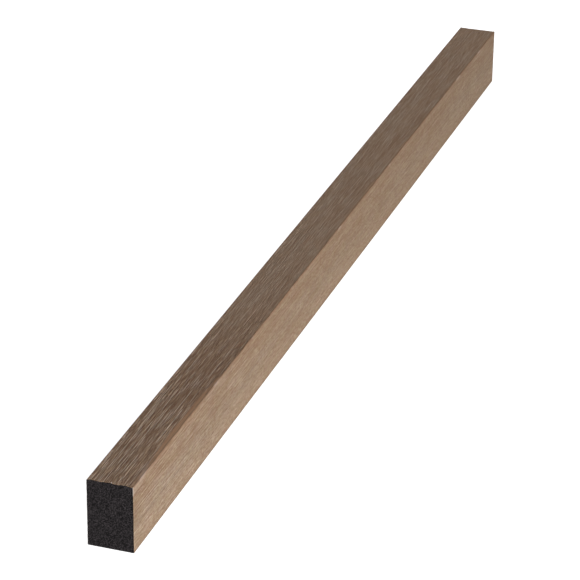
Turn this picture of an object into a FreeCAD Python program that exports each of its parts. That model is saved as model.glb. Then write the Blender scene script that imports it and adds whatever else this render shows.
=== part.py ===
# Panel moulding: a rectangular black foam batten with wood-effect decor film on its face and sides
import FreeCAD, Part
import math
import os
import Sketcher

document = FreeCAD.newDocument("panel_moulding")

# Every size in millimetres; the section sizes are taken over the film
sizes = {
    "stock_length": "550",  # sawn end to sawn end, along Y
    "section_width": "20",  # side to side, along X
    "section_height": "30",  # back to show face, along Z
    "film_thickness": "0.2",
    "core_edge_radius": "0.1",  # on the foam's four long edges
}
sheet = document.addObject("Spreadsheet::Sheet", "sizes")
for row, (name, value) in enumerate(sizes.items(), start=1):
    sheet.set(f"A{row}", name)
    sheet.set(f"B{row}", value)
    sheet.setAlias(f"B{row}", name)
document.recompute()

START, END, CENTRE = 1, 2, 3
ORIGIN = (-1, 1)
X_AXIS = -1


def line(first, last):
    return Part.LineSegment(FreeCAD.Vector(*first, 0), FreeCAD.Vector(*last, 0))


def quarter_arc(centre, radius, from_degrees):
    circle = Part.Circle(FreeCAD.Vector(*centre, 0), FreeCAD.Vector(0, 0, 1), radius)
    return Part.ArcOfCircle(circle, math.radians(from_degrees), math.radians(from_degrees + 90))


def section_sketch(body, name):
    # A sketch on the body's own XZ plane: across is X and up is Z
    sketch = body.newObject("Sketcher::SketchObject", name)
    plane = next(item for item in body.Origin.OriginFeatures if item.Role == "XZ_Plane")
    sketch.AttachmentSupport = (plane, [""])
    sketch.MapMode = "FlatFace"
    return sketch


def constrain(sketch, *terms):
    return sketch.addConstraint(Sketcher.Constraint(*terms))


def drive(sketch, name, expression, *terms):
    # A named dimension that follows the spreadsheet
    index = constrain(sketch, *terms)
    sketch.renameConstraint(index, name)
    sketch.setExpression(f"Constraints.{name}", expression)


def pad_along_length(body, sketch, name):
    pad = body.newObject("PartDesign::Pad", name)
    pad.Profile = sketch
    pad.SideType = "Symmetric"
    pad.setExpression("Length", "sizes.stock_length")
    sketch.Visibility = False
    return pad


# Starting positions for the sketch geometry; the constraints then hold it to the spreadsheet
half_width = sheet.section_width / 2
height = sheet.section_height
film = sheet.film_thickness
radius = sheet.core_edge_radius
core_half = half_width - film
core_top = height - film

# Foam core: a rectangle with its four long edges rounded, standing on its bare back
foam_core = document.addObject("PartDesign::Body", "foam_core")
foam_core.Label = "foam_core"
foam_core.Placement = FreeCAD.Placement()
core_section = section_sketch(foam_core, "core_section")

back = core_section.addGeometry(line((-core_half + radius, 0), (core_half - radius, 0)))
right = core_section.addGeometry(line((core_half, radius), (core_half, core_top - radius)))
front = core_section.addGeometry(line((core_half - radius, core_top), (-core_half + radius, core_top)))
left = core_section.addGeometry(line((-core_half, core_top - radius), (-core_half, radius)))
back_right = core_section.addGeometry(quarter_arc((core_half - radius, radius), radius, 270))
front_right = core_section.addGeometry(quarter_arc((core_half - radius, core_top - radius), radius, 0))
front_left = core_section.addGeometry(quarter_arc((-core_half + radius, core_top - radius), radius, 90))
back_left = core_section.addGeometry(quarter_arc((-core_half + radius, radius), radius, 180))

outline = [back, back_right, right, front_right, front, front_left, left, back_left]
for first, following in zip(outline, outline[1:] + outline[:1]):
    constrain(core_section, "Tangent", first, END, following, START)
for flat in (back, front):
    constrain(core_section, "Horizontal", flat)
for upright in (left, right):
    constrain(core_section, "Vertical", upright)
for corner in (front_right, front_left, back_left):
    constrain(core_section, "Equal", back_right, corner)
constrain(core_section, "PointOnObject", back, START, X_AXIS)
drive(core_section, "edge_radius", "sizes.core_edge_radius", "Radius", back_right, radius)
drive(core_section, "half_width", "sizes.section_width / 2 - sizes.film_thickness",
      "DistanceX", *ORIGIN, right, START, core_half)
drive(core_section, "full_width", "sizes.section_width - 2 * sizes.film_thickness",
      "DistanceX", left, START, right, START, 2 * core_half)
drive(core_section, "top_level", "sizes.section_height - sizes.film_thickness",
      "DistanceY", *ORIGIN, front, START, core_top)
pad_along_length(foam_core, core_section, "core_length")

# Decor film: an even skin over the face and both sides, bent round the two front edges about the
# same centres as the foam's own radii, and trimmed where the foam's back edges begin to round
decor_film = document.addObject("PartDesign::Body", "decor_film")
decor_film.Label = "decor_film"
decor_film.Placement = FreeCAD.Placement()
film_section = section_sketch(decor_film, "film_section")

bend = radius + film
bend_level = core_top - radius
bend_reach = core_half - radius
outer_left = film_section.addGeometry(line((-half_width, radius), (-half_width, bend_level)))
outer_left_bend = film_section.addGeometry(quarter_arc((-bend_reach, bend_level), bend, 90))
outer_face = film_section.addGeometry(line((-bend_reach, height), (bend_reach, height)))
outer_right_bend = film_section.addGeometry(quarter_arc((bend_reach, bend_level), bend, 0))
outer_right = film_section.addGeometry(line((half_width, bend_level), (half_width, radius)))
right_trim = film_section.addGeometry(line((half_width, radius), (core_half, radius)))
inner_right = film_section.addGeometry(line((core_half, radius), (core_half, bend_level)))
inner_right_bend = film_section.addGeometry(quarter_arc((bend_reach, bend_level), radius, 0))
inner_face = film_section.addGeometry(line((bend_reach, core_top), (-bend_reach, core_top)))
inner_left_bend = film_section.addGeometry(quarter_arc((-bend_reach, bend_level), radius, 90))
inner_left = film_section.addGeometry(line((-core_half, bend_level), (-core_half, radius)))
left_trim = film_section.addGeometry(line((-core_half, radius), (-half_width, radius)))

for joint in (
    (outer_left, END, outer_left_bend, END),
    (outer_left_bend, START, outer_face, START),
    (outer_face, END, outer_right_bend, END),
    (outer_right_bend, START, outer_right, START),
    (inner_right, END, inner_right_bend, START),
    (inner_right_bend, END, inner_face, START),
    (inner_face, END, inner_left_bend, START),
    (inner_left_bend, END, inner_left, START),
):
    constrain(film_section, "Tangent", *joint)
for joint in (
    (outer_right, END, right_trim, START),
    (right_trim, END, inner_right, START),
    (inner_left, END, left_trim, START),
    (left_trim, END, outer_left, START),
    (outer_right_bend, CENTRE, inner_right_bend, CENTRE),
    (outer_left_bend, CENTRE, inner_left_bend, CENTRE),
):
    constrain(film_section, "Coincident", *joint)
for upright in (outer_left, outer_right, inner_left, inner_right):
    constrain(film_section, "Vertical", upright)
for flat in (outer_face, inner_face, right_trim, left_trim):
    constrain(film_section, "Horizontal", flat)
constrain(film_section, "Horizontal", right_trim, START, left_trim, START)
constrain(film_section, "Equal", outer_left_bend, outer_right_bend)
drive(film_section, "bend_radius", "sizes.core_edge_radius", "Radius", inner_right_bend, radius)
drive(film_section, "thickness", "sizes.film_thickness",
      "DistanceY", inner_face, START, outer_face, START, film)
drive(film_section, "half_width", "sizes.section_width / 2",
      "DistanceX", *ORIGIN, outer_right, START, half_width)
drive(film_section, "full_width", "sizes.section_width",
      "DistanceX", outer_left, START, outer_right, START, 2 * half_width)
drive(film_section, "face_level", "sizes.section_height",
      "DistanceY", *ORIGIN, outer_face, START, height)
drive(film_section, "trim_level", "sizes.core_edge_radius",
      "DistanceY", *ORIGIN, right_trim, START, radius)
pad_along_length(decor_film, film_section, "film_length")

document.recompute()

for item in document.Objects:
    if "Invalid" in item.State or "Error" in item.State:
        raise RuntimeError(f"{item.Label} failed to build: {item.State}")
for sketch in (core_section, film_section):
    if sketch.solve() != 0 or not sketch.FullyConstrained:
        raise RuntimeError(f"{sketch.Label} is not fully held by its constraints")
for body in (foam_core, decor_film):
    if body.Shape.isNull() or not body.Shape.isValid() or len(body.Shape.Solids) != 1:
        raise RuntimeError(f"{body.Label} is not one valid solid")

os.makedirs("parts", exist_ok=True)
for body in (foam_core, decor_film):
    body.Shape.exportStep(f"parts/{body.Label}.step")
    box = body.Shape.BoundBox
    print(f"{body.Label}: {box.XLength:.2f} by {box.YLength:.2f} by {box.ZLength:.2f} mm,"
          f" {body.Shape.Volume / 1000:.2f} cubic centimetres")
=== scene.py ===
# Panel moulding: embossed wood-effect film over a sawn black foam batten, lying on a white floor
import math
import bpy
import numpy as np
from mathutils import Matrix, Vector


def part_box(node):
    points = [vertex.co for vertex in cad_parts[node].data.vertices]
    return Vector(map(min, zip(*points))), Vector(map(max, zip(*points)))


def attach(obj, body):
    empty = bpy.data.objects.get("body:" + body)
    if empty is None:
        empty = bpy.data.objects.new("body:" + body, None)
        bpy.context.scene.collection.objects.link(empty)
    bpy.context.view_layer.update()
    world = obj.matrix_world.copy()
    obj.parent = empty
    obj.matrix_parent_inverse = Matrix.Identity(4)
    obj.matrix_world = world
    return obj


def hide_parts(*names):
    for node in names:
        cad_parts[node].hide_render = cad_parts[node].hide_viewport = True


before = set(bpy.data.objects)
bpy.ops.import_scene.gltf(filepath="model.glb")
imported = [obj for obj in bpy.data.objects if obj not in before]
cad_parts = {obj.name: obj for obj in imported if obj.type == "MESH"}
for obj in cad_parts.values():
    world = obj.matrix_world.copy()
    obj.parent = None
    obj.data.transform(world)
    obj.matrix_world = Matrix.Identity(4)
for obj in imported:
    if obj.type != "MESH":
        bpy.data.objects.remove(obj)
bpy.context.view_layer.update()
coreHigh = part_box("foam_core")[1]
filmLow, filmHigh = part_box("decor_film")
print("frame loaded:", ", ".join(sorted(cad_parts)))

# Sizes in metres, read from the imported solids
halfLength, halfWidth, faceLevel = filmHigh[1], filmHigh[0], filmHigh[2]
coreHalf, coreTop = coreHigh[0], coreHigh[2]
filmThickness = faceLevel - coreTop
coreRadius = filmLow[2]  # the film is trimmed where the foam's back edges begin to round
bendRadius = coreRadius + filmThickness

# Distances round the film's outer surface, from the trimmed edge on the left to the one on the right
sideRun = faceLevel - bendRadius - coreRadius
bendRun = bendRadius * math.pi / 2
faceStart = sideRun + bendRun
faceEnd = faceStart + 2 * (halfWidth - bendRadius)
rightStart = faceEnd + bendRun
girthEnd = rightStart + sideRun
flatRuns = np.array([[0.0, sideRun], [faceStart, faceEnd], [rightStart, girthEnd]])


def linear(red, green, blue):
    # a colour as seen on screen, 0 to 255, turned into the linear value that a shader socket holds
    share = np.array([red, green, blue]) / 255.0
    curve = np.where(share <= 0.04045, share / 12.92, ((share + 0.055) / 1.055) ** 2.4)
    return (*curve.tolist(), 1.0)


def smoothStep(low, high, value):
    # 0 at low and 1 at high, with the cubic 3t^2 - 2t^3 between
    share = np.clip((value - low) / (high - low), 0.0, 1.0)
    return share * share * (3.0 - 2.0 * share)


def bell(value, middle, reach):
    # 1 at the middle, falling off as exp(-t^2) with t in reaches
    return np.exp(-((value - middle) / reach) ** 2)


def softNoise(random, lines, count, step, reach):
    # white noise along each line, blurred by a bell curve of the given reach, then set to unit spread
    waves = np.fft.rfftfreq(count, step)
    kept = np.exp(-2.0 * (np.pi * waves * reach) ** 2)
    raw = np.fft.rfft(random.standard_normal((lines, count)), axis=1)
    blurred = np.fft.irfft(raw * kept, count, axis=1)
    return blurred / blurred.std()


def acrossLines(noise, place):
    # lines of noise standing evenly over places 0 to 1, blended straight between neighbours
    spot = np.clip(place, 0.0, 1.0) * (len(noise) - 1)
    first = np.minimum(spot.astype(int), len(noise) - 2)
    share = (spot - first)[:, None]
    return noise[first] * (1.0 - share) + noise[first + 1] * share


def addAttribute(piece, name, values):
    layer = piece.data.attributes.new(name, "FLOAT", "POINT")
    layer.data.foreach_set("value", np.ascontiguousarray(values, dtype=np.float32).ravel())


def makePiece(name, points, faces, smooth, slots):
    mesh = bpy.data.meshes.new(name)
    mesh.from_pydata(points.tolist(), [], faces)
    mesh.polygons.foreach_set("use_smooth", smooth)
    mesh.polygons.foreach_set("material_index", slots)
    mesh.update()
    piece = bpy.data.objects.new(name, mesh)
    bpy.context.scene.collection.objects.link(piece)
    return piece


# The film
filmValues = {
    "rows": 500,  # along the length
    "bendSteps": 5,
    "facePitch": 0.7e-3,  # between neighbouring lines of pores
    "sidePitch": 1.7e-3,
    "poreJitter": 0.32,  # these three are shares of the pitch
    "poreSteep": 0.2,  # width of a pore's steep flank
    "poreGentle": 0.32,  # width of the flank that runs out slowly
    "poreWidths": (0.6, 1.5),  # narrowest and widest pores, against the pitch
    "poreStrengths": (0.35, 1.0),  # weakest and strongest lines of pores
    "poreDepth": 0.17e-3,
    "poreRun": 3.0e-3,  # how soon a pore comes and goes along its line
    "poreWindow": (-0.35, 0.75),  # of the noise by which it does
    "poreMargin": 0.5e-3,  # plain film beside a bend or a trimmed edge
    "poreEdge": 0.4e-3,  # over which the pores begin beside a bend
    "sidePores": 0.32,  # strength of the pores on the sides, against the face
    "poreFade": 0.55,  # strength that they lose towards the far end
    "poreFadeSpan": (45e-3, 190e-3),  # from the near end
    "warmCalm": 0.75,  # strength that they lose in the smooth band beside a bend
    "crestWidth": 0.14e-3,  # painted glint beside the steep flank, where the crest would catch the light
    "wander": 0.3e-3,  # sideways drift of the grain
    "wanderRun": 45e-3,
    "wanderLines": 14,  # of noise round the section
    "looseReach": 3.0e-3,  # from a bend or an edge to where drift and swell are full
    "swell": 0.012e-3,  # the foam's unevenness telling through
    "swellRun": 7e-3,
    "swellLines": 24,
    "sawLoss": 0.25e-3,  # film that the saw took off the ends of the face
    "sawNick": 0.5e-3,  # and took off more in places
    "sawSide": 0.25,  # share of the nicks on the sides
    "sawBias": 0.3,  # added to the noise, so that more than half of the edge is nicked
    "sawRun": 0.45e-3,  # how soon the ragged edge changes
    "sawSteps": 512,  # of its noise round the section
    "sawEdge": 1.0e-3,  # over which the loss begins beside a bend
    "sawFar": 0.4,  # share of the loss at the far end
    "seed": 7,
    # where print and wear show; spans and places along the length are from the near end
    "warmReach": 2.5e-3,  # widest smooth band beside a bend: flattened film of warm brown print, tinted paler as painted light where it rolls over the bend
    "warmRun": 8e-3,  # how soon it widens and narrows
    "warmSway": 0.5,  # how much, about warmRest, between the ends of warmWindow
    "warmRest": -0.9,
    "warmWindow": (-1.4, 2.0),
    "warmBulge": 2.5,  # added over its wide stretch beside the right-hand bend
    "warmRise": (2e-3, 50e-3),
    "warmFall": (94e-3, 70e-3),
    "warmEdge": 0.6e-3,
    "shadeReach": 0.9e-3,  # painted shade just below the bends, for the shading of a rounder bend
    "rubbed": 0.4,  # pale spots on the bends
    "rubbedReach": 0.6e-3,
    "rubbedRun": 2.5e-3,
    "rubbedWindow": (1.2, 2.8),
    "streak": 0.34,  # pale streak that crosses the right-hand bend by the near corner
    "streakLevel": 0.8,
    "streakPatch": 0.4,  # how much it follows the noise of the pale spots
    "streakReach": 1.1e-3,
    "streakDrop": 1.2e-3,  # below the bend at the sawn end
    "streakSlope": 0.155,
    "streakSpan": (24e-3, 13e-3),
    "chip": 0.6,  # pale chip of the film's sawn edge at that corner
    "chipDrop": 1.3e-3,
    "chipReach": 1.9e-3,
    "chipEdge": 0.6e-3,
    "patchRun": 14e-3,  # slow change of tone, which the patch values follow
    "patchLines": 10,
    "nearSpan": (190e-3, 110e-3),  # where the face goes over to its paler, strongly lined near part
    "farSpan": (70e-3, 190e-3),  # where the sides lose some of their lines and tones
    "heart": (0.45, 0.24),  # greyer heart of each side: height and reach, as shares of the side
    "heartStrength": 0.7,
    "heartPatch": 0.22,
    "heartFade": 0.4,  # lost over farSpan
    "footSpan": (0.42, 0.25),  # painted light on the foot of each side, thrown up by the floor
    "footLine": (0.11, 0.06),  # its brightest painted line, above the trimmed edge
    "footLineShare": 0.6,
    "shoulder": (0.92, 0.05),  # painted highlight line under the bend
    "shoulderShare": 0.45,
    "footStrength": 0.7,  # of all three
    "footLevel": 0.8,
    "footPatch": 0.18,
    "footFade": 0.45,
    "tan": 0.55,  # darker stretch of the face
    "tanPlace": 88e-3,
    "tanReach": 20e-3,
    "tanLevel": 0.03,  # all over the face
    "tanPatch": 0.06,
    "faceLines": 0.6,  # strength of the fine lines, and what the near part adds
    "nearLines": 0.85,
    "sideLines": 0.68,  # and on the sides, with what they lose over farSpan
    "sideLinesFade": 0.13,
    "faceClouds": 0.85,  # strength of the clouds, and what the near part takes off
    "nearClouds": 0.7,
    "sideCloudsFade": 0.5,  # the sides have them at full strength, less this over farSpan
    "faceTints": 0.15,  # strength of the tints, which are full on the sides
}


def girthPoint(girth):
    # the film's outline by distance round it: up the left side, a quarter turn, across the face,
    # a quarter turn and down the right side, with the outward direction at each place
    firstTurn = np.clip((girth - sideRun) / bendRadius, 0.0, math.pi / 2)
    lastTurn = np.clip((girth - faceEnd) / bendRadius, 0.0, math.pi / 2)
    across = np.clip(girth - faceStart, 0.0, faceEnd - faceStart)
    x = bendRadius * (1.0 - np.cos(firstTurn) + np.sin(lastTurn)) + across - halfWidth
    climb = coreRadius + np.clip(girth, 0.0, sideRun) - np.clip(girth - rightStart, 0.0, sideRun)
    z = climb + bendRadius * (np.sin(firstTurn) - 1.0 + np.cos(lastTurn))
    heading = math.pi - firstTurn - lastTurn
    return x, z, np.cos(heading), np.sin(heading)


def layPores(random, values):
    # lines of pores side by side on each flat run, each a jittered pitch from the last,
    # with the widths of their two flanks
    lines, pitches = [], []
    for (start, end), kind in zip(flatRuns, ("sidePitch", "facePitch", "sidePitch")):
        room = end - start - 2 * values["poreMargin"]
        count = round(room / values[kind])
        jitter = random.uniform(-values["poreJitter"], values["poreJitter"], count)
        lines.append(start + values["poreMargin"] + room / count * (np.arange(count) + 0.5 + jitter))
        pitches.append(values[kind] * random.uniform(*values["poreWidths"], count))
    lines, pitches = np.concatenate(lines), np.concatenate(pitches)
    return lines, values["poreSteep"] * pitches, values["poreGentle"] * pitches


def layColumns(lines, steep, gentle, bendSteps):
    # distances round the section at which points stand: the trimmed edges, even steps round the bends,
    # and the crest, the line and the foot of each pore
    turn = np.linspace(0.0, bendRun, bendSteps + 1)
    bends = [sideRun + turn, faceEnd + turn]
    girth = np.sort(np.concatenate([[0.0, girthEnd], *bends, lines - steep, lines, lines + gentle]))
    return girth[(girth >= 0.0) & (girth <= girthEnd)]


class FilmGrid:
    # the columns of points round the section and the rows along the length
    def __init__(self, girth, rows):
        self.girth = girth
        self.columns, self.rows = len(girth), rows
        self.along = np.linspace(-halfLength, halfLength, rows)
        self.step = self.along[1] - self.along[0]
        self.fromEnd = self.along + halfLength
        self.place = girth / girthEnd
        self.rightHalf = (girth > girthEnd / 2) * 1.0
        self.onFace = ((girth > faceStart) & (girth < faceEnd))[:, None]
        self.onFlat = ((girth[:, None] >= flatRuns[:, 0]) & (girth[:, None] <= flatRuns[:, 1])).any(axis=1)
        self.toEdge = np.abs(girth[:, None] - flatRuns.ravel()).min(axis=1)

    def noise(self, random, lines, reach, place):
        # soft noise along the length, blended between lines that stand over places 0 to 1
        return acrossLines(softNoise(random, lines, self.rows, self.step, reach), place)


def smoothLitBand(grid, random, values):
    # a smooth step beside each bend, at a reach that sways along the length: wide in some places,
    # nearly gone in others, and pushed out over one stretch beside the right-hand bend
    # the band is flattened film, tinted warm brown and paler as painted light where it rolls over towards
    # the side
    sway = grid.noise(random, 2, values["warmRun"], grid.rightHalf)
    sway = sway * values["warmSway"] + values["warmRest"]
    bulge = smoothStep(*values["warmRise"], grid.fromEnd) * smoothStep(*values["warmFall"], grid.fromEnd)
    sway += values["warmBulge"] * grid.rightHalf[:, None] * bulge
    reach = values["warmReach"] * smoothStep(*values["warmWindow"], sway)
    return grid.onFace * smoothStep(values["warmEdge"], -values["warmEdge"], grid.toEdge[:, None] - reach)


def deepest(profile, ticks):
    # at each place the strongest of all lines: its profile across times its strength along
    return (profile[:, :, None] * ticks[None, :, :]).max(axis=1)


def pressPores(grid, random, values, pores, warmLit):
    # a pore falls straight from both flanks to its line, and the painted glint on its crest is a bell
    # curve;
    # pores come and go along their lines, and weaken in the smooth band beside a bend and towards the far
    # end
    lines, steep, gentle = pores
    strength = random.uniform(*values["poreStrengths"], len(lines))[:, None]
    strength *= np.where((lines > faceStart) & (lines < faceEnd), 1.0, values["sidePores"])[:, None]
    comeAndGo = softNoise(random, len(lines), grid.rows, grid.step, values["poreRun"])
    ticks = strength * smoothStep(*values["poreWindow"], comeAndGo)
    ticks *= 1.0 - values["poreFade"] * smoothStep(*values["poreFadeSpan"], grid.fromEnd)
    gap = grid.girth[:, None] - lines
    profile = np.clip(1.0 - np.where(gap < 0.0, -gap / steep, gap / gentle), 0.0, 1.0)
    # painted glint on the pore's crest, pale where the crest would catch the light
    crestGlint = bell(gap, -steep, values["crestWidth"])
    calm = (grid.onFlat * smoothStep(0.0, values["poreEdge"], grid.toEdge))[:, None]
    calm = calm * (1.0 - values["warmCalm"] * warmLit)
    return deepest(profile, ticks) * calm, deepest(crestGlint, ticks) * calm


def sawEnds(grid, random, values):
    # each column's y along the rows, with the two ends drawn back by an even loss on the face
    # and a ragged line of noise, which is weaker on the sides
    y = np.tile(grid.along, (grid.columns, 1))
    spread = np.linspace(0.0, girthEnd, values["sawSteps"])
    ragged = softNoise(random, 2, values["sawSteps"], spread[1], values["sawRun"])
    ragged = np.clip(ragged + values["sawBias"], 0.0, 2.0) / 2.0
    share = grid.onFace[:, 0] * smoothStep(0.0, values["sawEdge"], grid.toEdge)
    nicked = values["sawSide"] + (1.0 - values["sawSide"]) * share
    for end, bite in ((0, 1.0), (-1, -values["sawFar"])):
        nick = values["sawNick"] * np.interp(grid.girth, spread, ragged[end])
        y[:, end] += bite * (share * values["sawLoss"] + nicked * nick)
    return y


def printMarks(grid, random, values):
    # strengths for each point: bell curves and smooth steps in the distance round the section
    # times others in the distance from the near end, with slow noise along the length
    girth, fromEnd, onFace = grid.girth, grid.fromEnd, grid.onFace
    fromMiddle = np.abs(girth - girthEnd / 2)
    beyond = np.clip(fromMiddle - (faceEnd - faceStart) / 2, 0.0, None)
    # painted shade on the sides just below the bends
    shade = bell(beyond, 0.0, values["shadeReach"])[:, None] * ~onFace * np.ones(grid.rows)

    onBend = bell(fromMiddle, rightStart - girthEnd / 2, values["rubbedReach"])[:, None]
    rubbed = grid.noise(random, 2, values["rubbedRun"], grid.rightHalf)
    aside = girth[:, None] - rightStart - values["streakDrop"] + values["streakSlope"] * fromEnd
    streak = bell(aside, 0.0, values["streakReach"]) * smoothStep(*values["streakSpan"], fromEnd)
    wear = values["rubbed"] * onBend * smoothStep(*values["rubbedWindow"], rubbed)
    streak = values["streak"] * streak * (values["streakLevel"] + values["streakPatch"] * rubbed)
    wear = np.clip(wear + streak, 0.0, 1.0)
    chip = np.zeros((grid.columns, grid.rows))
    toChip = np.abs(girth - rightStart - values["chipDrop"]) - values["chipReach"]
    chip[:, 0] = values["chip"] * smoothStep(values["chipEdge"], 0.0, toChip)

    near = smoothStep(*values["nearSpan"], fromEnd)
    far = smoothStep(*values["farSpan"], fromEnd)
    height = np.minimum(girth, girthEnd - girth)[:, None] / sideRun
    patchy = grid.noise(random, values["patchLines"], values["patchRun"], grid.place)
    heart = bell(height, *values["heart"]) * (1.0 - values["heartFade"] * far)
    heart = heart * np.clip(values["heartStrength"] + values["heartPatch"] * patchy, 0.0, 1.0)
    # painted light on the sides: a brighter foot from the floor's bounce, a bright line above the trimmed
    # edge and a highlight under the bend
    foot = smoothStep(*values["footSpan"], height)
    foot = foot + values["footLineShare"] * bell(height, *values["footLine"])
    foot = foot + values["shoulderShare"] * bell(height, *values["shoulder"]) * ~onFace
    foot = values["footStrength"] * foot * (1.0 - values["footFade"] * far)
    foot = foot * np.clip(values["footLevel"] + values["footPatch"] * patchy, 0.0, 1.0)
    tan = values["tan"] * bell(fromEnd, values["tanPlace"], values["tanReach"]) + values["tanLevel"]
    tan = onFace * np.clip(tan + values["tanPatch"] * patchy, 0.0, 1.0)

    faceLines = values["faceLines"] + values["nearLines"] * near
    sideLines = values["sideLines"] - values["sideLinesFade"] * far
    faceClouds = values["faceClouds"] - values["nearClouds"] * near
    sideClouds = 1.0 - values["sideCloudsFade"] * far
    return {
        "bendShade": shade,
        "ridgeWear": wear,
        "sawChip": chip,
        "heartGrey": heart,
        "paintedSideLight": foot,
        "faceTan": tan,
        "faceShare": onFace * np.ones(grid.rows),
        "nearFace": onFace * near,
        "lineForce": np.where(onFace, faceLines, sideLines),
        "cloudShare": np.where(onFace, faceClouds, sideClouds),
        "tintShare": np.where(onFace, values["faceTints"], 1.0) * np.ones(grid.rows),
    }


def skinFaces(columns, rows):
    # quads over the skin, the glued side and the two sawn ends, and one long face for each trimmed edge
    at = np.arange(columns * rows).reshape(columns, rows)
    gluedAt = at.size + np.arange(columns * 2).reshape(columns, 2)
    skin = np.stack([at[:-1, :-1], at[1:, :-1], at[1:, 1:], at[:-1, 1:]], axis=-1).reshape(-1, 4)
    glued = np.stack([gluedAt[:-1, 0], gluedAt[:-1, 1], gluedAt[1:, 1], gluedAt[1:, 0]], axis=-1)
    near = np.stack([at[:-1, 0], gluedAt[:-1, 0], gluedAt[1:, 0], at[1:, 0]], axis=-1)
    far = np.stack([at[:-1, -1], at[1:, -1], gluedAt[1:, 1], gluedAt[:-1, 1]], axis=-1)
    leftTrim = [*at[0].tolist(), *gluedAt[0, ::-1].tolist()]
    rightTrim = [*gluedAt[-1].tolist(), *at[-1, ::-1].tolist()]
    plain = glued.tolist() + near.tolist() + far.tolist() + [leftTrim, rightTrim]
    return skin.tolist(), plain


def buildFilm(values):
    # a skin carried along the length: each point is the outline at its distance round the section,
    # sunk against the outward direction by a lopsided pore profile; columns follow the wandering grain
    random = np.random.default_rng(values["seed"])
    pores = layPores(random, values)
    grid = FilmGrid(layColumns(*pores, values["bendSteps"]), values["rows"])
    warmLit = smoothLitBand(grid, random, values)
    pore, crest = pressPores(grid, random, values, pores, warmLit)
    loose = np.where(grid.onFlat, smoothStep(0.0, values["looseReach"], grid.toEdge), 0.0)[:, None]
    swell = grid.noise(random, values["swellLines"], values["swellRun"], grid.place)
    swell = np.clip(swell + 2.0, 0.0, 4.0)
    sunk = values["poreDepth"] * pore + values["swell"] * loose * swell * (1.0 - pore)

    drift = grid.noise(random, values["wanderLines"], values["wanderRun"], grid.place)
    x, z, outX, outZ = girthPoint(grid.girth[:, None] + values["wander"] * loose * drift)
    y = sawEnds(grid, random, values)
    outer = np.stack([x - outX * sunk, y, z - outZ * sunk], axis=-1)

    # the glued side lies one film thickness in, with points at the two sawn ends alone
    x, z, outX, outZ = (part[:, None] for part in girthPoint(grid.girth))
    glue = np.broadcast_arrays(x - outX * filmThickness, y[:, [0, -1]], z - outZ * filmThickness)
    points = np.concatenate([outer.reshape(-1, 3), np.stack(glue, axis=-1).reshape(-1, 3)])
    skin, plain = skinFaces(grid.columns, grid.rows)
    isSkin = np.arange(len(skin) + len(plain)) < len(skin)
    piece = makePiece("decorFilm", points, skin + plain, isSkin, 1 - isSkin.astype(int))

    marks = {"poreInk": pore, "poreCrestGlint": crest, "bendWarmthAndLight": warmLit}
    marks.update(printMarks(grid, random, values))
    for name, mark in marks.items():
        addAttribute(piece, name, np.concatenate([mark.ravel(), mark[:, [0, -1]].ravel()]))

    # the sheet laid flat: distance round the section, then distance along the length, in metres
    flat = np.stack(np.broadcast_arrays(grid.girth[:, None], y), axis=-1)
    flat = np.concatenate([flat.reshape(-1, 2), flat[:, [0, -1]].reshape(-1, 2)])
    corners = np.empty(len(piece.data.loops), dtype=np.int32)
    piece.data.loops.foreach_get("vertex_index", corners)
    sheet = piece.data.uv_layers.new(name="filmSheet")
    sheet.data.foreach_set("uv", flat[corners].astype(np.float32).ravel())
    print(f"film: {grid.columns} columns by {grid.rows} rows, {len(pores[0])} lines of pores")
    return piece


# The foam
foamValues = {
    "gridPitch": 0.123e-3,  # of the sawn faces
    "cellPitch": 0.29e-3,
    "cellDepth": 0.3e-3,
    "cellWall": (0.04, 0.35),  # over which a cell sinks beside its wall, in pitches
    "cellReach": 0.8,  # radius of its bowl, in pitches
    "cellFloor": 0.3,  # depth beyond the bowl, as a share of the depth
    "cellShallow": 0.25,  # shallowest cells, as a share of the deepest
    "rimReach": 0.5e-3,  # cells are shallower this near to the rim
    "rimDepth": 0.2,  # and have this share of their depth at the rim
    "toneWindow": (0.15, 0.6),  # of each cell's own number, for its tone
    "plainTone": 0.5,  # tone of the sides and the back
    "sawnBack": 0.03e-3,  # the cut foam springs back this far behind the film's edge
    "dieLine": 0.03e-3,  # depth of the lines that the die drew along the back
    "dieRun": 0.3e-3,  # and their width
    "heave": 0.03e-3,  # slow unevenness of the back
    "heaveRun": 2.0,  # in bands
    "bands": 24,  # along the sides
    "seed": 11,
}


def roundedPoint(across, up):
    # a rectangle whose corner squares are bent into quarter discs: p sqrt(1 - q^2/2), q sqrt(1 - p^2/2)
    reach, rise = coreHalf - coreRadius, coreTop / 2 - coreRadius
    level = up - coreTop / 2
    p = np.clip((np.abs(across) - reach) / coreRadius, 0.0, 1.0)
    q = np.clip((np.abs(level) - rise) / coreRadius, 0.0, 1.0)
    x = np.minimum(np.abs(across), reach) + coreRadius * p * np.sqrt(1.0 - q * q / 2)
    z = np.minimum(np.abs(level), rise) + coreRadius * q * np.sqrt(1.0 - p * p / 2)
    return np.sign(across) * x, coreTop / 2 + np.sign(level) * z


def cutCells(random, x, z, pitch):
    # one cell seed thrown into each square of a lattice; gives the distances to the nearest and the
    # next seed, in pitches, and a number drawn for the nearest, from the nine squares round each place
    placeX, placeZ = (x - x.min()) / pitch + 1.0, (z - z.min()) / pitch + 1.0
    squareX, squareZ = placeX.astype(int), placeZ.astype(int)
    shape = (squareX.max() + 2, squareZ.max() + 2)
    seedX, seedZ, draw = random.uniform(0.0, 1.0, (3, *shape))
    farAway = 9.0  # further than any seed in the nine squares
    nearest, following = np.full((2, *x.shape), farAway)
    tone = np.zeros(x.shape)
    for stepX in (-1, 0, 1):
        for stepZ in (-1, 0, 1):
            a, b = squareX + stepX, squareZ + stepZ
            away = np.hypot(a + seedX[a, b] - placeX, b + seedZ[a, b] - placeZ)
            closer = away < nearest
            following = np.where(closer, nearest, np.minimum(following, away))
            tone = np.where(closer, draw[a, b], tone)
            nearest = np.where(closer, away, nearest)
    return nearest, following, tone


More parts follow.
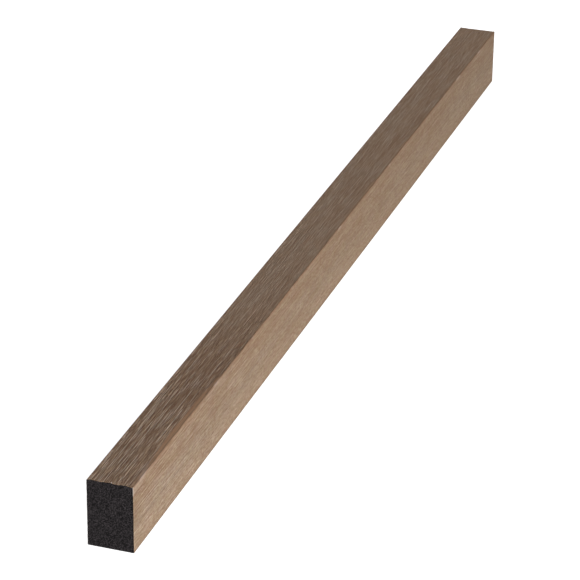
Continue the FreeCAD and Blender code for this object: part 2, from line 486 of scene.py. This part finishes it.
def buildFoam(values):
    # two sawn faces joined by the sides: a face is a flat grid sunk by a bowl for each cut cell, deepest
    # at the seed and rising to the wall between two seeds; the sides carry the faces' rim along the length
    random = np.random.default_rng(values["seed"])
    across = np.linspace(-coreHalf, coreHalf, round(2 * coreHalf / values["gridPitch"]))
    up = np.linspace(0.0, coreTop, round(coreTop / values["gridPitch"]))
    x, z = roundedPoint(*np.meshgrid(across, up, indexing="ij"))
    columns, levels = x.shape
    at = np.arange(x.size).reshape(columns, levels)
    toRim = np.minimum(coreHalf - np.abs(x), np.minimum(z, coreTop - z))

    sawn, depths, tones = [], [], []
    for end in (-1.0, 1.0):
        nearest, following, tone = cutCells(random, x, z, values["cellPitch"])
        bowl = np.clip(1.0 - (nearest / values["cellReach"]) ** 2, 0.0, 1.0)
        bowl = values["cellFloor"] + (1.0 - values["cellFloor"]) * bowl
        own = values["cellShallow"] + (1.0 - values["cellShallow"]) * tone
        depth = smoothStep(*values["cellWall"], following - nearest) * bowl * own
        kept = values["rimDepth"] + (1.0 - values["rimDepth"]) * smoothStep(0.0, values["rimReach"], toRim)
        y = end * (halfLength - values["sawnBack"] - values["cellDepth"] * depth * kept)
        sawn.append(np.stack([x, y, z], axis=-1).reshape(-1, 3))
        depths.append(depth.ravel())
        tones.append(smoothStep(*values["toneWindow"], tone).ravel())

    rim = np.concatenate([at[:-1, 0], at[-1, :-1], at[:0:-1, -1], at[0, :0:-1]])
    share = np.linspace(0.0, 1.0, values["bands"] + 1)[1:-1, None, None]
    rings = sawn[0][rim] * (1.0 - share) + sawn[1][rim] * share
    onBack = (sawn[0][rim, 2] == 0.0) * 1.0
    drawn = softNoise(random, 1, len(rim), values["gridPitch"], values["dieRun"])[0]
    slow = softNoise(random, 1, len(rings), 1.0, values["heaveRun"])[0][:, None] + 1.0
    drawn, slow = np.clip(drawn, 0.0, 2.0) / 2.0, np.clip(slow, 0.0, 2.0) / 2.0
    rings[..., 2] += onBack * (values["dieLine"] * drawn + values["heave"] * slow)

    between = 2 * x.size + np.arange(rings[..., 0].size).reshape(-1, len(rim))
    ringAt = np.vstack([rim, between, x.size + rim])
    turned = np.roll(ringAt, -1, axis=1)
    nearFace = np.stack([at[:-1, :-1], at[1:, :-1], at[1:, 1:], at[:-1, 1:]], axis=-1).reshape(-1, 4)
    farFace = x.size + nearFace[:, ::-1]
    sides = np.stack([ringAt[:-1], ringAt[1:], turned[1:], turned[:-1]], axis=-1).reshape(-1, 4)
    faces = np.concatenate([nearFace, farFace, sides])
    points = np.concatenate([*sawn, rings.reshape(-1, 3)])
    isSawn = np.arange(len(faces)) < 2 * len(nearFace)
    piece = makePiece("foamCore", points, faces.tolist(), isSawn, np.zeros(len(faces), dtype=int))
    plain = np.zeros(rings[..., 0].size)
    addAttribute(piece, "cellDepth", np.concatenate([*depths, plain]))
    addAttribute(piece, "cellTone", np.concatenate([*tones, plain + values["plainTone"]]))
    print(f"foam: sawn faces {columns} by {levels} points, {values['bands']} bands along the sides")
    return piece


# Shader groups
def newGroup(name, inputs, output):
    group = bpy.data.node_groups.new(name, "ShaderNodeTree")
    group.interface.new_socket("Vector", in_out="INPUT", socket_type="NodeSocketVector")
    for socket, start in inputs.items():
        made = group.interface.new_socket(socket, in_out="INPUT", socket_type="NodeSocketFloat")
        made.default_value = start
    group.interface.new_socket(output, in_out="OUTPUT", socket_type="NodeSocketFloat")
    return group, group.nodes.new("NodeGroupInput").outputs, group.nodes.new("NodeGroupOutput").inputs


def addWindow(group, given, noise, result):
    # stretches the noise between Low and High over 0 to 1, with soft ends
    window = group.nodes.new("ShaderNodeMapRange")
    window.interpolation_type = "SMOOTHSTEP"
    group.links.new(noise.outputs["Fac"], window.inputs["Value"])
    group.links.new(given["Low"], window.inputs["From Min"])
    group.links.new(given["High"], window.inputs["From Max"])
    group.links.new(window.outputs["Result"], result)


def buildStreaks():
    # noise with one scale across and another along, so that it reads as lines down the length
    inputs = {"Across": 600.0, "Along": 25.0, "Detail": 2.0, "Low": 0.4, "High": 0.6}
    group, given, result = newGroup("lengthwiseStreaks", inputs, "Streak")
    scale = group.nodes.new("ShaderNodeCombineXYZ")
    group.links.new(given["Across"], scale.inputs["X"])
    group.links.new(given["Along"], scale.inputs["Y"])
    stretched = group.nodes.new("ShaderNodeVectorMath")
    stretched.operation = "MULTIPLY"
    group.links.new(given["Vector"], stretched.inputs[0])
    group.links.new(scale.outputs["Vector"], stretched.inputs[1])
    noise = group.nodes.new("ShaderNodeTexNoise")
    noise.inputs["Scale"].default_value = 1.0
    group.links.new(stretched.outputs["Vector"], noise.inputs["Vector"])
    group.links.new(given["Detail"], noise.inputs["Detail"])
    addWindow(group, given, noise, result["Streak"])
    return group


def buildMottle():
    # cloudy noise without a direction
    inputs = {"Scale": 100.0, "Detail": 2.0, "Low": 0.35, "High": 0.65}
    group, given, result = newGroup("softMottle", inputs, "Mottle")
    noise = group.nodes.new("ShaderNodeTexNoise")
    for socket in ("Vector", "Scale", "Detail"):
        group.links.new(given[socket], noise.inputs[socket])
    addWindow(group, given, noise, result["Mottle"])
    return group


streakGroup = buildStreaks()
mottleGroup = buildMottle()
print("shader groups built")


# Finishes
class Finish:
    # one material, with short ways to add the nodes that the finishes share
    def __init__(self, name, values):
        self.material = bpy.data.materials.new(name)
        self.material.use_nodes = True
        self.nodes = self.material.node_tree.nodes
        self.links = self.material.node_tree.links
        self.shader = next(node for node in self.nodes if node.type == "BSDF_PRINCIPLED")
        self.shader.inputs["Roughness"].default_value = values["roughness"]
        self.shader.inputs["Specular IOR Level"].default_value = values["specular"]

    def feed(self, socket, value):
        if isinstance(value, bpy.types.NodeSocket):
            self.links.new(value, socket)
        else:
            socket.default_value = value

    def math(self, operation, first, second):
        node = self.nodes.new("ShaderNodeMath")
        node.operation = operation
        self.feed(node.inputs[0], first)
        self.feed(node.inputs[1], second)
        return node.outputs["Value"]

    def mix(self, share, strength, first, second):
        # first turned towards second by share times strength
        node = self.nodes.new("ShaderNodeMix")
        node.data_type = "RGBA"
        self.links.new(self.math("MULTIPLY", share, strength), node.inputs["Factor"])
        self.feed(node.inputs["A"], first)
        self.feed(node.inputs["B"], second)
        return node.outputs["Result"]

    def mark(self, name):
        node = self.nodes.new("ShaderNodeAttribute")
        node.attribute_name = name
        return node.outputs["Fac"]

    def pattern(self, group, place, **values):
        node = self.nodes.new("ShaderNodeGroup")
        node.node_tree = group
        self.links.new(place, node.inputs["Vector"])
        for name, value in values.items():
            node.inputs[name].default_value = value
        return node.outputs[0]

    def lay(self, colour, values, shares):
        # the layers laid over the first colour in turn, each by its pattern or mark times its strength
        for name, strength, tint in values["layers"]:
            if name not in shares:
                shares[name] = self.mark(name)
            colour = self.mix(shares[name], strength, colour, values[tint])
        self.feed(self.shader.inputs["Base Color"], colour)

    def bump(self, height, distance):
        node = self.nodes.new("ShaderNodeBump")
        node.inputs["Distance"].default_value = distance
        self.links.new(height, node.inputs["Height"])
        self.links.new(node.outputs["Normal"], self.shader.inputs["Normal"])


filmFinish = {
    # the face takes a paler copy of the sides' colour: painted light that sets how bright the top renders
    # against the sides
    "side": linear(145, 120, 98),
    "face": linear(164, 138, 116),
    "near": linear(185, 157, 131),
    "heart": linear(163, 155, 140),
    "tan": linear(148, 116, 90),
    "olive": linear(160, 145, 115),
    # pale: the print's pale lines, and also the painted light on the sides
    "pale": linear(200, 179, 157),
    "grey": linear(172, 156, 140),
    "dark": linear(130, 100, 78),
    "ink": linear(90, 60, 44),
    # warm brown of the smooth band beside a bend, paler as painted light
    "warmLit": linear(184, 141, 109),
    # painted shade below the bends
    "shade": linear(144, 114, 91),
    # painted glint on the pore crests
    "crestGlint": linear(213, 191, 172),
    "worn": linear(198, 180, 170),
    # streaks of the print: the mark that says how strong they are where, the noise's scale across and
    # along the sheet, its detail, and the low and high end of the window that shows
    "streaks": {
        "bands": (None, 190.0, 11.0, 2.0, 0.36, 0.64),
        "clouds": ("cloudShare", 150.0, 42.0, 3.0, 0.46, 0.62),
        "tints": ("tintShare", 330.0, 110.0, 3.0, 0.42, 0.58),
        "paleLines": ("lineForce", 2000.0, 36.0, 1.0, 0.52, 0.64),
        "darkLines": ("lineForce", 2100.0, 80.0, 1.0, 0.52, 0.62),
        "fibres": ("lineForce", 2200.0, 150.0, 1.0, 0.42, 0.62),
        "longLines": ("cloudShare", 1500.0, 16.0, 3.0, 0.5, 0.66),
        "ticks": ("tintShare", 1500.0, 420.0, 2.0, 0.48, 0.57),
        "grain": ("nearFace", 2000.0, 36.0, 1.0, 0.48, 0.58),
    },
    # what is laid over the colour of the sides: a streak or a mark, its strength and its colour
    "layers": (
        # painted light: the face's paler copy of the colour
        ("faceShare", 1.0, "face"),
        ("nearFace", 1.0, "near"),
        ("faceTan", 1.0, "tan"),
        ("bands", 0.26, "dark"),
        ("heartGrey", 0.62, "heart"),
        # painted light on the sides
        ("paintedSideLight", 0.55, "pale"),
        ("clouds", 0.32, "grey"),
        ("tints", 0.38, "olive"),
        ("paleLines", 0.5, "pale"),
        ("darkLines", 0.5, "dark"),
        ("fibres", 0.45, "dark"),
        ("longLines", 0.42, "dark"),
        ("ticks", 0.48, "dark"),
        ("grain", 0.76, "dark"),
        ("poreInk", 0.9, "ink"),
        # painted glint on the pore crests
        ("poreCrestGlint", 0.9, "crestGlint"),
        # smooth band beside a bend: warm print and painted light
        ("bendWarmthAndLight", 0.66, "warmLit"),
        # painted shade below the bends
        ("bendShade", 0.8, "shade"),
        ("wornSpots", 1.0, "worn"),
    ),
    "roughness": 0.6,
    "poreRoughness": 0.2,  # added in the pores
    "specular": 0.02,
    "emboss": 0.2e-3,
    "lineSink": 0.6,  # of the dark lines, against the rise of the fibres
}


def finishFilm(values):
    finish = Finish("woodPrint", values)
    sheet = finish.nodes.new("ShaderNodeUVMap")
    sheet.uv_map = "filmSheet"
    shares = {"wornSpots": finish.math("MAXIMUM", finish.mark("ridgeWear"), finish.mark("sawChip"))}
    for name, (where, *settings) in values["streaks"].items():
        named = dict(zip(("Across", "Along", "Detail", "Low", "High"), settings))
        shares[name] = finish.pattern(streakGroup, sheet.outputs["UV"], **named)
        if where:
            shares[name] = finish.math("MULTIPLY", shares[name], finish.mark(where))

    finish.lay(values["side"], values, shares)

    # fibres stand up and dark lines lie lower, except in the smooth band beside a bend, and pores lie
    # lowest
    raised = finish.math("MULTIPLY", shares["darkLines"], values["lineSink"])
    raised = finish.math("SUBTRACT", shares["fibres"], raised)
    raised = finish.math("MULTIPLY", raised, finish.math("SUBTRACT", 1.0, shares["bendWarmthAndLight"]))
    finish.bump(finish.math("SUBTRACT", raised, shares["poreInk"]), values["emboss"])
    rough = finish.math("MULTIPLY", shares["poreInk"], values["poreRoughness"])
    finish.feed(finish.shader.inputs["Roughness"], finish.math("ADD", rough, values["roughness"]))
    return finish.material


cutFinish = {
    "smear": linear(48, 44, 44),
    "brown": linear(82, 69, 60),
    "chip": linear(196, 188, 178),
    "smearing": {"Scale": 900.0, "Low": 0.45, "High": 0.7},
    "layers": (("smearing", 0.7, "brown"), ("sawChip", 1.0, "chip")),
    "roughness": 0.7,
    "specular": 0.1,
}


def finishCut(values):
    finish = Finish("filmCutEdge", values)
    place = finish.nodes.new("ShaderNodeTexCoord").outputs["Object"]
    smearing = finish.pattern(mottleGroup, place, **values["smearing"])
    finish.lay(values["smear"], values, {"smearing": smearing})
    return finish.material


foamFinish = {
    "wall": linear(69, 64, 66),
    # pit: painted shade in the hollows of the cut cells, and also the dark tone that some cells have
    "pit": linear(3, 3, 3),
    "worn": linear(50, 47, 48),
    "grit": {"Scale": 2600.0, "Detail": 3.0, "Low": 0.3, "High": 0.7},
    "dieLines": {"Across": 700.0, "Along": 9.0, "Detail": 3.0, "Low": 0.4, "High": 0.7},
    "layers": (
        # painted shade in the hollow of each cut cell, deepest at its seed
        ("cellDepth", 0.9, "pit"),
        ("cellTone", 0.95, "pit"),
        ("grit", 0.25, "worn"),
        ("dieLines", 0.15, "worn"),
    ),
    "roughness": 0.8,
    "specular": 0.1,
    "gritDepth": 0.05e-3,
}


def finishFoam(values):
    finish = Finish("blackFoam", values)
    place = finish.nodes.new("ShaderNodeTexCoord").outputs["Object"]
    grit = finish.pattern(mottleGroup, place, **values["grit"])
    dieLines = finish.pattern(streakGroup, place, **values["dieLines"])
    finish.lay(values["wall"], values, {"grit": grit, "dieLines": dieLines})
    finish.bump(grit, values["gritDepth"])
    return finish.material


film = buildFilm(filmValues)
film.data.materials.append(finishFilm(filmFinish))
film.data.materials.append(finishCut(cutFinish))
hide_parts("decor_film")
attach(film, "root")

foam = buildFoam(foamValues)
foam.data.materials.append(finishFoam(foamFinish))
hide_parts("foam_core")
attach(foam, "root")
print("pieces dressed")

# Floor, light and camera
studio = {
    "floorReach": 30.0,
    "floorColour": 0.8,
    "floorGlow": 0.92,  # what the camera sees on top of the floor's own light
    "floorFinish": {"roughness": 0.9, "specular": 0.0},
    "ambient": 0.1,
    "key": {"at": (1.35, -1.2, 0.36), "towards": (0.0, 0.05, 0.02), "size": 0.5, "watts": 38.7},
    "fill": {"at": (-1.4, 0.9, 0.13), "towards": (0.0, 0.05, 0.02), "size": 0.24, "watts": 14.0},
    "top": {"at": (-0.4, 1.0, 0.9), "towards": (0.0, 0.1, 0.02), "size": 0.8, "watts": 3.9},
}


def lookedAt(nodes, links):
    # 1 where the background is seen, straight or in a reflection, and 0 where it lights something
    path = nodes.new("ShaderNodeLightPath").outputs
    seen = path["Is Camera Ray"]
    for kind in ("Is Glossy Ray", "Is Transmission Ray"):
        either = nodes.new("ShaderNodeMath")
        either.operation = "MAXIMUM"
        links.new(seen, either.inputs[0])
        links.new(path[kind], either.inputs[1])
        seen = either.outputs["Value"]
    return seen


def scaled(nodes, links, value, factor, added):
    # value times factor plus added
    node = nodes.new("ShaderNodeMath")
    node.operation = "MULTIPLY_ADD"
    links.new(value, node.inputs[0])
    node.inputs[1].default_value = factor
    node.inputs[2].default_value = added
    return node.outputs["Value"]


def addFloor(values):
    reach = values["floorReach"]
    mesh = bpy.data.meshes.new("floor")
    ends = [(-reach, -reach, 0.0), (reach, -reach, 0.0), (reach, reach, 0.0), (-reach, reach, 0.0)]
    mesh.from_pydata(ends, [], [(0, 1, 2, 3)])
    floor = bpy.data.objects.new("floor", mesh)
    bpy.context.scene.collection.objects.link(floor)
    finish = Finish("paleFloor", values["floorFinish"])
    finish.shader.inputs["Base Color"].default_value = (values["floorColour"],) * 3 + (1.0,)
    finish.shader.inputs["Emission Color"].default_value = (1.0, 1.0, 1.0, 1.0)
    seen = lookedAt(finish.nodes, finish.links)
    glow = scaled(finish.nodes, finish.links, seen, values["floorGlow"], 0.0)
    finish.feed(finish.shader.inputs["Emission Strength"], glow)
    mesh.materials.append(finish.material)


def addWorld(values):
    world = bpy.data.worlds.new("studio")
    bpy.context.scene.world = world
    world.use_nodes = True
    nodes, links = world.node_tree.nodes, world.node_tree.links
    sky = next(node for node in nodes if node.type == "BACKGROUND")
    sky.inputs["Color"].default_value = (1.0, 1.0, 1.0, 1.0)
    strength = scaled(nodes, links, lookedAt(nodes, links), 1.0 - values["ambient"], values["ambient"])
    links.new(strength, sky.inputs["Strength"])


def addLamp(name, values):
    lamp = bpy.data.lights.new(name, "AREA")
    lamp.energy = values["watts"]
    lamp.size = values["size"]
    holder = bpy.data.objects.new(name, lamp)
    holder.location = values["at"]
    aim = Vector(values["towards"]) - Vector(values["at"])
    holder.rotation_euler = aim.to_track_quat("-Z", "Y").to_euler()
    bpy.context.scene.collection.objects.link(holder)


addFloor(studio)
addWorld(studio)
for lampName in ("key", "fill", "top"):
    addLamp(lampName + "Lamp", studio[lampName])
print("floor and light set")

photoView = {
    "eye": (0.364002, -1.140369, 0.567474),
    "azimuth": 18.521,  # degrees round to the right of the near end
    "elevation": 25.749,
    "roll": 0.735,
    "focalPixels": 2726.9,
    "imagePixels": 580,
    "sensorWidth": 36.0,  # in millimetres
    "clip": (0.05, 200.0),
}


def addCamera(values):
    # looks from the eye point along the heading that azimuth and elevation give, turned by the roll
    turn, tilt, roll = (math.radians(values[name]) for name in ("azimuth", "elevation", "roll"))
    ahead = Vector((-math.sin(turn) * math.cos(tilt), math.cos(turn) * math.cos(tilt), -math.sin(tilt)))
    level = ahead.cross(Vector((0.0, 0.0, 1.0))).normalized()
    above = level.cross(ahead)
    right = level * math.cos(roll) + above * math.sin(roll)
    up = above * math.cos(roll) - level * math.sin(roll)
    data = bpy.data.cameras.new("photoCamera")
    data.sensor_width = values["sensorWidth"]
    data.lens = values["focalPixels"] / values["imagePixels"] * data.sensor_width
    data.clip_start, data.clip_end = values["clip"]
    camera = bpy.data.objects.new("photoCamera", data)
    camera.matrix_world = Matrix((right, up, -ahead)).transposed().to_4x4()
    camera.location = values["eye"]
    bpy.context.scene.collection.objects.link(camera)
    bpy.context.scene.camera = camera


addCamera(photoView)
bpy.context.scene.view_settings.view_transform = "Standard"
print("camera set")

bpy.context.view_layer.update()
